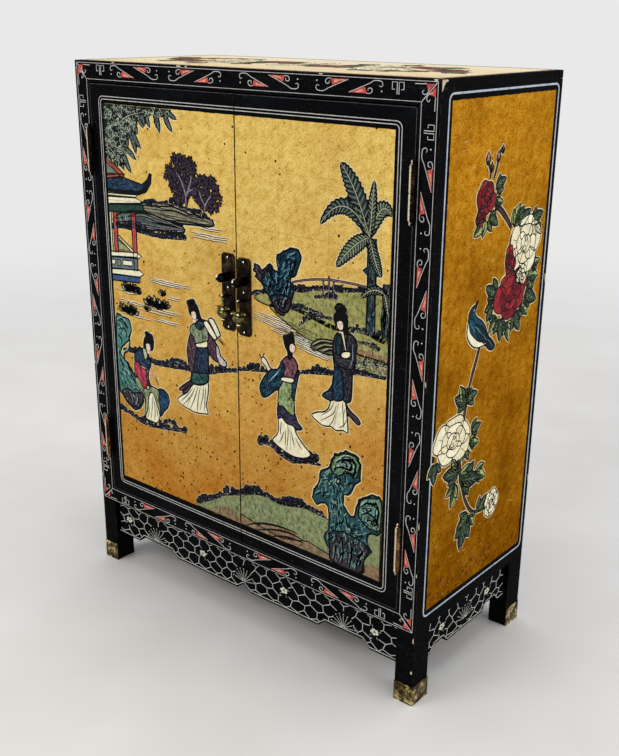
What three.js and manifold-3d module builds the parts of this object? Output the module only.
// A small two-door lacquer cabinet that stands on its own four square legs.
// Millimetres, +Z up, doors towards -Y. The origin lies on the floor, under the middle of the
// whole outline seen from above, door furniture included.
import * as THREE from "three";
import { mergeVertices } from "three/addons/utils/BufferGeometryUtils.js";
import Module from "manifold-3d";

const wasm = await Module();
wasm.setup();

// Carcass, over the lacquered wood.
const cabinetHeight = 914;
const cabinetWidth = 710;
const cabinetDepth = 322;
const postWidth = 33;
const postDepth = 40;
const legHeight = 124; // floor to the underside of the bottom rails
const topBoardThickness = 12;
const topRailHeight = 21;
const bottomRailHeight = 26;
const railDepth = 35;
const sidePanelThickness = 14;
const backPanelThickness = 10;
const glueLine = 0.2; // left wherever two pieces are glued, nailed or laid together
const overrun = 2; // how far a cutting shape runs past the face it opens

// Inside.
const floorBoardThickness = 12;
const shelfThickness = 12;
const shelfHeightShare = 0.49; // of the door opening, up from its bottom
const cleatWidth = 12;
const cleatHeight = 14;
const doorStopHeight = 12;
const doorStopDepth = 14;

// Aprons between the legs. The stepped lower edge is given from a leg to the middle of the
// span: how far along each point lies, and how far it hangs below the rails.
const apronThickness = 12;
const apronSetback = 9;
const apronLow = 67;
const apronHigh = 55;
const frontStepShares = [0, 0.171, 0.211, 0.448, 0.493, 0.949, 1];
const frontStepDrops = [apronLow, apronLow, apronHigh, apronHigh, apronLow, apronLow, apronHigh];
const sideStepShares = [0, 0.157, 0.24, 0.46, 0.554, 1];
const sideStepDrops = [apronLow, apronLow, apronHigh, apronHigh, apronLow, apronLow];

// Doors, set in flush with the frame.
const doorThickness = 20;
const doorSideGap = 1;
const doorEndGap = 1.5;
const doorClearance = 0.5; // kept between the free edges while one door swings past the other
const seamOffset = 4; // the left door is wider by this much, and the right one narrower
const stopGap = 0.3;

// Hinges: two knuckles on a pin with ball ends, proud of the front; the leaves lie in the
// gap between door and post.
const barrelRadius = 4.8;
const barrelLength = 70;
const barrelStandOff = 5.5; // axis in front of the door's face
const barrelInset = 107; // middle of a barrel to the end of the door
const knuckleGap = 0.4;
const leafThickness = 1.5;
const leafDepth = 18;
const leafGap = 0.2;
const pinRadius = 2.2;
const pinClearance = 0.1;
const pinCollarRadius = 4.2;
const pinCollarHeight = 1.4;
const pinNeckRadius = 1.8;
const ballRadius = 3;

// Door furniture: a plate on each door with a lock loop above and a hanging pull below.
const plateWidth = 27.8;
const plateHeight = 122.5;
const plateThickness = 2;
const plateInset = 2.6; // from where the doors meet
const plateRises = { left: 67.5, right: 64.5 }; // middle of the plate above the middle of the door
const plateNotch = 3.4;
const plateChamfer = 4.4;
const holeClearance = 0.15;
const rivetHeadRadius = 2;
const rivetHeadHeight = 1.2;
const rivetShankRadius = 1;
const rivetEndInset = 6; // top and bottom rivets to the plate's ends
const middleRivetRise = 8; // above the middle of the plate
const loopRise = 26;
const loopLength = 24;
const loopHeight = 14;
const loopThickness = 7;
const loopHoleRadius = 3.3;
const shankDepth = 12; // how far loops, staples and rivets enter the door
const loopShankRadius = 2.4;
const stapleDrop = 4;
const stapleReach = 12.5; // plate's face to the middle of the bar the pull hangs on
const stapleWireRadius = 1.2;
const stapleWidth = 8.4;
const stapleBend = 2.2;

// Hanging pull: an eye, a stem, a flared collar of petals and a bud with a foot.
const pullEyeRadius = 3.4;
const pullEyeWidth = 3.6;
const pullEyeBore = 1.6;
const pullLength = 40; // from the bar to the tip
const pullCollarRadius = 10.3;
const pullBreadthShare = 1.4; // a pull is this much broader than it is deep
const pullPetals = 6;
const petalDepthShare = 0.16;
const petalBandShare = 0.12; // of the length, each way from the collar's edge
const pullDropShares = [1, 0.985, 0.94, 0.9, 0.87, 0.84, 0.76, 0.66, 0.58, 0.51, 0.46, 0.43, 0.38, 0.34, 0.06, 0.06];
const pullRadiusShares = [0, 0.16, 0.27, 0.31, 0.2, 0.26, 0.6, 0.75, 0.71, 0.55, 0.98, 1, 0.6, 0.17, 0.15, 0];

// Brass shoes, bent round the outer corner of each leg and nailed on.
const shoeHeight = 34;
const shoeThickness = 1.2;
const shoeNailRadius = 1.8;
const shoeNailHeight = 0.8;
const shoeNailInset = 8;

// Facets of the round pieces.
const barrelFacets = 20;
const smallFacets = 12;
const pullFacets = 24;
const arcSteps = 6;
const wireSides = 4; // in each half of the wire's section
const wireSteps = 24;
const domeRings = 3;

// Where the frame's faces lie.
const halfWidth = cabinetWidth / 2;
const halfDepth = cabinetDepth / 2;
const postInnerX = halfWidth - postWidth;
const postInnerY = halfDepth - postDepth;
const boardUnderside = cabinetHeight - topBoardThickness;
const frameTop = boardUnderside - glueLine;
const openingTop = boardUnderside - topRailHeight;
const openingBottom = legHeight + bottomRailHeight;
const panelInnerX = halfWidth - sidePanelThickness;
const panelInnerY = halfDepth - backPanelThickness;
const doorBackY = doorThickness - halfDepth;

// A door's back corner swings out by about this much past its closed free edge.
const doorSwingOut = (doorThickness + barrelStandOff) ** 2 / (2 * (postInnerX - seamOffset));
const meetingGap = doorSwingOut + doorClearance;
const meanDoorWidth = (2 * postInnerX - 2 * doorSideGap - meetingGap) / 2;
const doorBottom = openingBottom + doorEndGap;
const doorTop = openingTop - doorEndGap;
const hingeX = postInnerX - doorSideGap / 2;
const hingeY = -halfDepth - barrelStandOff;
const hingeLevels = { upper: doorTop - barrelInset, lower: doorBottom + barrelInset };

// Reach of the door furniture and of the shoes past the wood, which centres the outline.
const frontReach = glueLine + plateThickness + glueLine + loopLength;
const backReach = glueLine + shoeThickness + shoeNailHeight;

const blackLacquer = new THREE.MeshStandardMaterial({ color: 0x14141a, roughness: 0.35, metalness: 0 });
const goldLacquer = new THREE.MeshStandardMaterial({ color: 0xcfa243, roughness: 0.45, metalness: 0.3 });
const amberLacquer = new THREE.MeshStandardMaterial({ color: 0xb57d1c, roughness: 0.45, metalness: 0.3 });
const creamGold = new THREE.MeshStandardMaterial({ color: 0xe6d3a8, roughness: 0.45, metalness: 0.2 });
const innerWood = new THREE.MeshStandardMaterial({ color: 0x4a2a1c, roughness: 0.6, metalness: 0 });
const darkBronze = new THREE.MeshStandardMaterial({ color: 0x2e261f, roughness: 0.45, metalness: 0.9 });
const agedBrass = new THREE.MeshStandardMaterial({ color: 0x8c7440, roughness: 0.5, metalness: 0.9 });

// Names and hangs one piece in its group.
function addPiece(group, name, geometry, material, position = new THREE.Vector3()) {
  const mesh = new THREE.Mesh(geometry, material);
  mesh.name = name;
  mesh.position.copy(position);
  group.add(mesh);
}

// A board between two limits along each axis, in any order, as a box about its own centre.
function boardSize(limits) {
  return new THREE.BoxGeometry(...limits.map(([a, b]) => Math.abs(b - a)));
}

function middleOf(limits) {
  return new THREE.Vector3(...limits.map(([a, b]) => (a + b) / 2));
}

function addBoard(group, name, material, ...limits) {
  addPiece(group, name, boardSize(limits), material, middleOf(limits));
}

// The same box, moved to its place, for cutting and joining.
function boardInPlace(...limits) {
  return boardSize(limits).translate(...middleOf(limits).toArray());
}

// A closed geometry as a solid that can be joined and cut, and back again.
function solidOf(geometry) {
  const bare = geometry.clone();
  bare.deleteAttribute("normal");
  bare.deleteAttribute("uv");
  const merged = mergeVertices(bare);
  return new wasm.Manifold(new wasm.Mesh({
    numProp: 3,
    vertProperties: new Float32Array(merged.attributes.position.array),
    triVerts: new Uint32Array(merged.index.array),
  }));
}

function geometryOf(solid) {
  const mesh = solid.getMesh();
  const geometry = new THREE.BufferGeometry();
  geometry.setAttribute("position", new THREE.BufferAttribute(new Float32Array(mesh.vertProperties), 3));
  geometry.setIndex(new THREE.BufferAttribute(new Uint32Array(mesh.triVerts), 1));
  geometry.computeVertexNormals();
  return geometry;
}

function cut(body, tools) {
  return geometryOf(tools.reduce((rest, tool) => rest.subtract(solidOf(tool)), solidOf(body)));
}

function join(pieces) {
  return geometryOf(pieces.map(solidOf).reduce((whole, piece) => whole.add(piece)));
}

// A flat outline, drawn looking at the front (x across, y up), given a thickness along Y
// about the plane y = 0.
function frontPlate(shape, thickness) {
  const geometry = new THREE.ExtrudeGeometry(shape, {
    depth: thickness,
    bevelEnabled: false,
    curveSegments: arcSteps,
  });
  return geometry.translate(0, 0, -thickness / 2).rotateX(Math.PI / 2);
}

// A rod along Y between two places, about the line through x, z.
function rodAlongY(radius, fromY, toY, x = 0, z = 0) {
  const rod = new THREE.CylinderGeometry(radius, radius, toY - fromY, smallFacets);
  return rod.translate(0, (fromY + toY) / 2, 0).translate(x, 0, z);
}

function rodAlongZ(radius, fromZ, toZ) {
  const rod = new THREE.CylinderGeometry(radius, radius, toZ - fromZ, barrelFacets);
  return rod.rotateX(Math.PI / 2).translate(0, 0, (fromZ + toZ) / 2);
}

// A turned piece about Z, from its outline of [radius, height] pairs, lowest first.
function turned(outline, facets) {
  const points = outline.map(([radius, height]) => new THREE.Vector2(radius, height));
  return new THREE.LatheGeometry(points, facets).rotateX(Math.PI / 2);
}

const cabinet = new THREE.Group();
cabinet.position.y = (frontReach - backReach) / 2;
const carcass = new THREE.Group();
cabinet.add(carcass);

// Corner posts run from the floor to the top board, and their lower ends are the legs. The
// front ones have a shallow recess for each hinge leaf.
function postLimits(side, end) {
  return [
    [side * postInnerX, side * halfWidth],
    [end * postInnerY, end * halfDepth],
    [0, frameTop],
  ];
}

function leafRecess(side, level) {
  return boardInPlace(
    [side * (postInnerX - overrun), side * (hingeX + leafGap / 2 + leafThickness + glueLine)],
    [-halfDepth - overrun, glueLine + leafDepth - halfDepth],
    [level - barrelLength / 2 - glueLine, level + barrelLength / 2 + glueLine],
  );
}

for (const [side, sideName] of [[-1, "left"], [1, "right"]]) {
  const recesses = Object.values(hingeLevels).map((level) => leafRecess(side, level));
  const frontPost = cut(boardInPlace(...postLimits(side, -1)), recesses);
  addPiece(carcass, `post_front_${sideName}`, frontPost, blackLacquer);
  addBoard(carcass, `post_back_${sideName}`, blackLacquer, ...postLimits(side, 1));
}

// Top board, rails and panels, all flush with the outside of the posts.
const betweenPostsX = [glueLine - postInnerX, postInnerX - glueLine];
const betweenPostsY = [glueLine - postInnerY, postInnerY - glueLine];
const topRailZ = [openingTop, frameTop];
const bottomRailZ = [legHeight, openingBottom];
const frontRailY = [-halfDepth, railDepth - halfDepth];
const backRailY = [halfDepth - railDepth, halfDepth];

addBoard(carcass, "top_board", creamGold,
  [-halfWidth, halfWidth], [-halfDepth, halfDepth], [boardUnderside, cabinetHeight]);
addBoard(carcass, "rail_top_front", blackLacquer, betweenPostsX, frontRailY, topRailZ);
addBoard(carcass, "rail_bottom_front", blackLacquer, betweenPostsX, frontRailY, bottomRailZ);
addBoard(carcass, "rail_top_back", blackLacquer, betweenPostsX, backRailY, topRailZ);
addBoard(carcass, "rail_bottom_back", blackLacquer, betweenPostsX, backRailY, bottomRailZ);
addBoard(carcass, "back_panel", blackLacquer,
  betweenPostsX, [panelInnerY, halfDepth], [openingBottom + glueLine, openingTop - glueLine]);
for (const [side, sideName] of [[-1, "left"], [1, "right"]]) {
  addBoard(carcass, `side_panel_${sideName}`, amberLacquer,
    [side * panelInnerX, side * halfWidth], betweenPostsY, [legHeight, frameTop]);
}

// Floor board and shelf: notched round the four posts. The floor board lies on the bottom
// rails, and its front edge is what the closed doors stop against.
function notchedBoard(frontY, thickness) {
  const wide = panelInnerX - glueLine;
  const narrow = postInnerX - glueLine;
  const notchY = postInnerY - glueLine;
  const backY = panelInnerY - glueLine;
  const rightHalf = [
    [narrow, frontY], [narrow, -notchY], [wide, -notchY], [wide, notchY], [narrow, notchY], [narrow, backY],
  ];
  const leftHalf = rightHalf.map(([x, y]) => [-x, y]).reverse();
  const outline = new THREE.Shape([...rightHalf, ...leftHalf].map(([x, y]) => new THREE.Vector2(x, y)));
  return new THREE.ExtrudeGeometry(outline, { depth: thickness, bevelEnabled: false });
}

const innerFrontY = doorBackY + stopGap;
const floorZ = openingBottom + glueLine;
const shelfZ = openingBottom + shelfHeightShare * (openingTop - openingBottom);
addPiece(carcass, "floor_board", notchedBoard(innerFrontY, floorBoardThickness), innerWood,
  new THREE.Vector3(0, 0, floorZ));
addPiece(carcass, "shelf", notchedBoard(innerFrontY, shelfThickness), innerWood,
  new THREE.Vector3(0, 0, shelfZ));
for (const [side, sideName] of [[-1, "left"], [1, "right"]]) {
  const outerX = panelInnerX - glueLine;
  addBoard(carcass, `shelf_cleat_${sideName}`, innerWood,
    [side * (outerX - cleatWidth), side * outerX],
    betweenPostsY,
    [shelfZ - glueLine - cleatHeight, shelfZ - glueLine]);
}
addBoard(carcass, "door_stop", innerWood, betweenPostsX,
  [innerFrontY, innerFrontY + doorStopDepth],
  [openingTop - glueLine - doorStopHeight, openingTop - glueLine]);

// Aprons hang under the rails, a little behind the faces of the legs.
function apron(halfSpan, stepShares, stepDrops) {
  const halfEdge = stepShares.map((share, i) => [halfSpan * (share - 1), -stepDrops[i]]);
  const mirrored = halfEdge.map(([x, y]) => [-x, y]).reverse();
  const bothHalves = [...halfEdge, ...mirrored.slice(1)];
  const outline = [[-halfSpan, 0], ...bothHalves, [halfSpan, 0]];
  return frontPlate(new THREE.Shape(outline.map(([x, y]) => new THREE.Vector2(x, y))), apronThickness);
}

const apronZ = legHeight - glueLine;
const apronMiddle = apronSetback + apronThickness / 2;
for (const [end, endName] of [[-1, "front"], [1, "back"]]) {
  addPiece(carcass, `apron_${endName}`, apron(postInnerX - glueLine, frontStepShares, frontStepDrops),
    blackLacquer, new THREE.Vector3(0, end * (halfDepth - apronMiddle), apronZ));
}
for (const [side, sideName] of [[-1, "left"], [1, "right"]]) {
  const sideApron = apron(postInnerY - glueLine, sideStepShares, sideStepDrops).rotateZ(Math.PI / 2);
  addPiece(carcass, `apron_${sideName}`, sideApron, blackLacquer,
    new THREE.Vector3(side * (halfWidth - apronMiddle), 0, apronZ));
}

// Brass shoes: an angle on the two outer faces of each leg, with two nails in each face.
function shoe(side, end) {
  const innerX = halfWidth + glueLine;
  const innerY = halfDepth + glueLine;
  const outerX = innerX + shoeThickness;
  const outerY = innerY + shoeThickness;
  const corners = [
    [postInnerX, outerY], [outerX, outerY], [outerX, postInnerY],
    [innerX, postInnerY], [innerX, innerY], [postInnerX, innerY],
  ];
  const outline = new THREE.Shape(corners.map(([x, y]) => new THREE.Vector2(side * x, end * y)));
  const angle = new THREE.ExtrudeGeometry(outline, { depth: shoeHeight, bevelEnabled: false });
  const nails = [shoeNailInset, shoeHeight - shoeNailInset].flatMap((level, i) => {
    const nearEdge = i ? shoeNailInset : postWidth - shoeNailInset;
    const nearBack = i ? shoeNailInset : postDepth - shoeNailInset;
    return [
      shoeNail([0, 1], side * (halfWidth - nearEdge), end * outerY, level),
      shoeNail([1, 0], side * outerX, end * (halfDepth - nearBack), level),
    ];
  });
  return join([angle, ...nails]);
}

// A domed nail head, flattened along the face's normal and half sunk in the brass.
function shoeNail([alongX, alongY], x, y, z) {
  const head = new THREE.SphereGeometry(shoeNailRadius, smallFacets, 2 * domeRings);
  const flat = shoeNailHeight / shoeNailRadius;
  return head.scale(alongX ? flat : 1, alongY ? flat : 1, 1).translate(x, y, z);
}

for (const [side, sideName] of [[-1, "left"], [1, "right"]]) {
  for (const [end, endName] of [[-1, "front"], [1, "back"]]) {
    addPiece(carcass, `shoe_${endName}_${sideName}`, shoe(side, end), agedBrass);
  }
}

// Hinge leaf about the pin's axis: a plate in the gap, a neck and one knuckle, bored for
// the pin. toward is +1 or -1, the way along X in which the leaf lies.
function hingeLeaf(toward, knuckleZ) {
  const leafX = [toward * leafGap / 2, toward * (leafGap / 2 + leafThickness)];
  const plateY = barrelRadius + knuckleGap;
  const plate = boardInPlace(leafX, [plateY, barrelStandOff + leafDepth], [-barrelLength / 2, barrelLength / 2]);
  const neck = boardInPlace(leafX, [0, plateY + leafThickness], knuckleZ);
  const knuckle = rodAlongZ(barrelRadius, ...knuckleZ);
  const bore = rodAlongZ(pinRadius + pinClearance, -barrelLength / 2 - overrun, barrelLength / 2 + overrun);
  return cut(join([plate, neck, knuckle]), [bore]);
}

// Pin with a collar, a neck and a ball at each end.
function hingePin() {
  const collarZ = barrelLength / 2 + knuckleGap;
  const neckZ = collarZ + pinCollarHeight;
  const ballZ = neckZ + ballRadius;
  const ballSteps = 2 * domeRings;
  const neckAngle = Math.asin(pinNeckRadius / ballRadius);
  const ball = Array.from({ length: ballSteps + 1 }, (_, i) => {
    const angle = (Math.PI - neckAngle) * (1 - i / ballSteps);
    return [ballRadius * Math.sin(angle), ballZ + ballRadius * Math.cos(angle)];
  });
  const collar = [[pinRadius, collarZ], [pinCollarRadius, collarZ], [pinCollarRadius, neckZ]];
  const upperHalf = [...collar, [pinNeckRadius, neckZ], ...ball];
  const lowerHalf = upperHalf.map(([radius, height]) => [radius, -height]).reverse();
  return turned([...lowerHalf, ...upperHalf], smallFacets);
}

const upperKnuckleZ = [knuckleGap / 2, barrelLength / 2];
const lowerKnuckleZ = [-barrelLength / 2, -knuckleGap / 2];

// Lock plate: the top corners are notched round, the bottom ones are cut off straight. Its
// holes take three rivets, the loop's shank and the staple's legs.
const furnitureHoles = [
  [0, plateHeight / 2 - rivetEndInset, rivetShankRadius],
  [0, middleRivetRise, rivetShankRadius],
  [0, rivetEndInset - plateHeight / 2, rivetShankRadius],
  [0, loopRise, loopShankRadius],
  [-stapleWidth / 2, -stapleDrop, stapleWireRadius],
  [stapleWidth / 2, -stapleDrop, stapleWireRadius],
];

function lockPlate() {
  const halfPlate = plateWidth / 2;
  const top = plateHeight / 2;
  const outline = new THREE.Shape();
  outline.moveTo(plateChamfer - halfPlate, -top);
  outline.lineTo(halfPlate - plateChamfer, -top);
  outline.lineTo(halfPlate, plateChamfer - top);
  outline.lineTo(halfPlate, top - plateNotch);
  outline.absarc(halfPlate, top, plateNotch, -Math.PI / 2, -Math.PI, true);
  outline.lineTo(plateNotch - halfPlate, top);
  outline.absarc(-halfPlate, top, plateNotch, 0, -Math.PI / 2, true);
  outline.lineTo(-halfPlate, plateChamfer - top);
  outline.closePath();
  for (const [x, z, radius] of furnitureHoles) {
    const hole = new THREE.Path();
    hole.absarc(x, z, radius + holeClearance, 0, 2 * Math.PI, true);
    outline.holes.push(hole);
  }
  return frontPlate(outline, plateThickness);
}

// Lock loop: a round-ended tab that stands straight out of the plate, with an eye across it
// for the lock's bar, and a shank let into the door.
function lockLoop() {
  const endRadius = loopHeight / 2;
  const eyeOut = loopLength - endRadius;
  const outline = new THREE.Shape();
  outline.moveTo(0, -endRadius);
  outline.lineTo(eyeOut, -endRadius);
  outline.absarc(eyeOut, 0, endRadius, -Math.PI / 2, Math.PI / 2, false);
  outline.lineTo(0, endRadius);
  outline.closePath();
  const eye = new THREE.Path();
  eye.absarc(eyeOut, 0, loopHoleRadius, 0, 2 * Math.PI, true);
  outline.holes.push(eye);
  const tab = frontPlate(outline, loopThickness).rotateZ(-Math.PI / 2);
  const shank = rodAlongY(loopShankRadius, -overrun, glueLine + plateThickness + glueLine + shankDepth);
  return join([tab, shank]);
}

// Staple: round wire bent to a bar between two legs that pass through the plate.
function pullStaple() {
  const legX = stapleWidth / 2;
  const endY = glueLine + plateThickness + glueLine + shankDepth;
  const barY = -stapleReach;
  const corners = [
    [-legX, endY], [-legX, barY + stapleBend], [-legX, barY], [stapleBend - legX, barY],
    [legX - stapleBend, barY], [legX, barY], [legX, barY + stapleBend], [legX, endY],
  ].map(([x, y]) => new THREE.Vector3(x, y, 0));
  const path = new THREE.CurvePath();
  path.add(new THREE.LineCurve3(corners[0], corners[1]));
  path.add(new THREE.QuadraticBezierCurve3(corners[1], corners[2], corners[3]));
  path.add(new THREE.LineCurve3(corners[3], corners[4]));
  path.add(new THREE.QuadraticBezierCurve3(corners[4], corners[5], corners[6]));
  path.add(new THREE.LineCurve3(corners[6], corners[7]));
  const section = new THREE.Shape().absarc(0, 0, stapleWireRadius, 0, 2 * Math.PI, false);
  return new THREE.ExtrudeGeometry(section, {
    steps: wireSteps,
    extrudePath: path,
    bevelEnabled: false,
    curveSegments: wireSides,
  });
}

// Pull: an eye round the staple's bar over one turned body, whose collar swells and sinks
// round its edge to make the petals.
function hangingPull() {
  const outline = pullDropShares.map((share, i) => [pullCollarRadius * pullRadiusShares[i], -share * pullLength]);
  const body = turned(outline, pullFacets);
  const collarShare = pullDropShares[pullRadiusShares.indexOf(1)];
  const place = body.attributes.position;
  for (let i = 0; i < place.count; i += 1) {
    const angle = Math.atan2(place.getY(i), place.getX(i));
    const awayShare = Math.abs(-place.getZ(i) / pullLength - collarShare) / petalBandShare;
    const swell = 1 + petalDepthShare * Math.max(0, 1 - awayShare) * (Math.cos(pullPetals * angle) - 1) / 2;
    place.setXY(i, place.getX(i) * swell * pullBreadthShare, place.getY(i) * swell);
  }
  const ring = new THREE.Shape().absarc(0, 0, pullEyeRadius, 0, 2 * Math.PI, false);
  const bore = new THREE.Path();
  bore.absarc(0, 0, pullEyeBore, 0, 2 * Math.PI, true);
  ring.holes.push(bore);
  return join([body, frontPlate(ring, pullEyeWidth).rotateZ(Math.PI / 2)]);
}

// Rivet: a low dome on a shank through the plate into the door.
function rivet() {
  const dome = Array.from({ length: domeRings + 1 }, (_, i) => {
    const angle = Math.PI / 2 * i / domeRings;
    return [rivetHeadRadius * Math.cos(angle), rivetHeadHeight * Math.sin(angle)];
  });
  const shankEnd = -(glueLine + plateThickness + glueLine + shankDepth);
  const outline = [[0, shankEnd], [rivetShankRadius, shankEnd], [rivetShankRadius, 0], ...dome];
  return turned(outline, smallFacets).rotateX(Math.PI / 2);
}

// Each door hangs in a group whose origin is its hinge axis, and the post leaves and pins
// stay in a like group on the carcass. away is the way along X from the axis towards the
// middle of the cabinet.
for (const [side, sideName] of [[-1, "left"], [1, "right"]]) {
  const away = -side;
  const doorGroup = new THREE.Group();
  doorGroup.position.set(side * hingeX, hingeY, 0);
  cabinet.add(doorGroup);
  const postGroup = new THREE.Group();
  postGroup.position.copy(doorGroup.position);
  carcass.add(postGroup);

  const doorWidth = meanDoorWidth + away * seamOffset;
  const doorX = [away * doorSideGap / 2, away * (doorSideGap / 2 + doorWidth)];
  const doorFrontY = barrelStandOff;
  const plateX = away * (hingeX - plateInset - plateWidth / 2) + seamOffset;
  const plateZ = (doorTop + doorBottom) / 2 + plateRises[sideName];
  const recesses = Object.values(hingeLevels).map((level) => boardInPlace(
    [-away * overrun, away * (leafGap / 2 + leafThickness + glueLine)],
    [-overrun, doorFrontY + leafDepth + glueLine],
    [level - barrelLength / 2 - glueLine, level + barrelLength / 2 + glueLine],
  ));
  const bores = furnitureHoles.map(([x, z, radius]) => rodAlongY(
    radius + holeClearance, -overrun, doorFrontY + shankDepth + overrun, plateX + x, plateZ + z,
  ));
  const doorBoard = boardInPlace(doorX, [doorFrontY, doorFrontY + doorThickness], [doorBottom, doorTop]);
  addPiece(doorGroup, `door_${sideName}`, cut(doorBoard, [...recesses, ...bores]), goldLacquer);

  const plateFaceY = doorFrontY - glueLine - plateThickness;
  const onPlate = (x, z) => new THREE.Vector3(plateX + x, plateFaceY - glueLine, plateZ + z);
  addPiece(doorGroup, `lock_plate_${sideName}`, lockPlate(), darkBronze,
    new THREE.Vector3(plateX, plateFaceY + plateThickness / 2, plateZ));
  addPiece(doorGroup, `lock_loop_${sideName}`, lockLoop(), darkBronze, onPlate(0, loopRise));
  addPiece(doorGroup, `pull_staple_${sideName}`, pullStaple(), darkBronze, onPlate(0, -stapleDrop));
  ["top", "middle", "bottom"].forEach((place, i) => {
    const [x, z] = furnitureHoles[i];
    addPiece(doorGroup, `rivet_${sideName}_${place}`, rivet(), agedBrass, onPlate(x, z));
  });

  const pullGroup = new THREE.Group();
  pullGroup.position.copy(onPlate(0, -stapleDrop));
  pullGroup.position.y -= stapleReach;
  doorGroup.add(pullGroup);
  addPiece(pullGroup, `pull_${sideName}`, hangingPull(), agedBrass);

  for (const [levelName, level] of Object.entries(hingeLevels)) {
    const onAxis = new THREE.Vector3(0, 0, level);
    const name = `hinge_${sideName}_${levelName}`;
    addPiece(doorGroup, `${name}_door_leaf`, hingeLeaf(away, upperKnuckleZ), darkBronze, onAxis);
    addPiece(postGroup, `${name}_post_leaf`, hingeLeaf(-away, lowerKnuckleZ), darkBronze, onAxis);
    addPiece(postGroup, `${name}_pin`, hingePin(), darkBronze, onAxis);
  }
}

export default cabinet;
